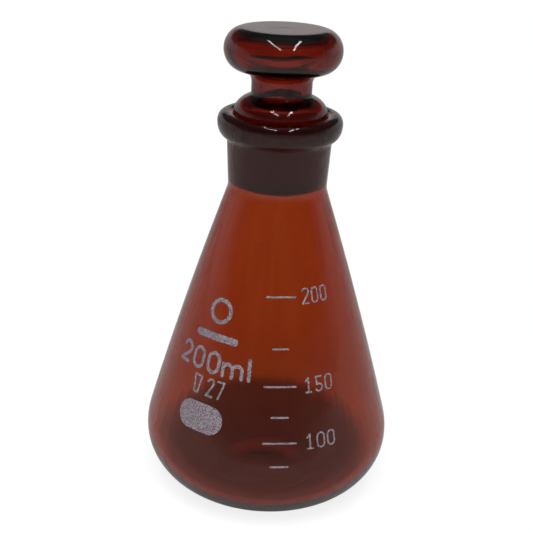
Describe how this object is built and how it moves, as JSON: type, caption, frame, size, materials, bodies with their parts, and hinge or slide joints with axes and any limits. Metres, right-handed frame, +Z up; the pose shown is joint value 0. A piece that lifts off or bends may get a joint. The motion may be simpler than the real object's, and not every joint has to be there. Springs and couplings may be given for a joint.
{
  "type": "stoppered conical flask",
  "caption": "Amber glass conical flask with a ground tapered neck, a hollow ground-in stopper with a flat knob, and fired white scale marks; holds and pours light-sensitive liquid.",
  "frame": {"origin": "centre of the base, on the plane the flask stands on", "axes": "+Z up the flask's axis towards the stopper, -Y towards its graduated side"},
  "size_m": [0.0768, 0.0768, 0.1452],
  "materials": {
    "amber_glass": "clear amber glass, ground matt where the stopper seats in the neck",
    "white_enamel": null
  },
  "bodies": {
    "flask": {"flask_body": "amber_glass", "graduation_200": "white_enamel", "graduation_150": "white_enamel", "graduation_100": "white_enamel", "graduation_175": "white_enamel", "graduation_125": "white_enamel", "graduation_75": "white_enamel", "numeral_200": "white_enamel", "numeral_150": "white_enamel", "numeral_100": "white_enamel", "capacity_label": "white_enamel", "joint_size_mark": "white_enamel", "writing_patch": "white_enamel", "maker_mark": "white_enamel"},
    "stopper": {"stopper": "amber_glass"}
  },
  "joints": [
    {"name": "stopper_lift", "type": "slide", "parent": "flask", "child": "stopper", "axis": [0, 0, 1], "range_m": [0, 0.035]}
  ]
}
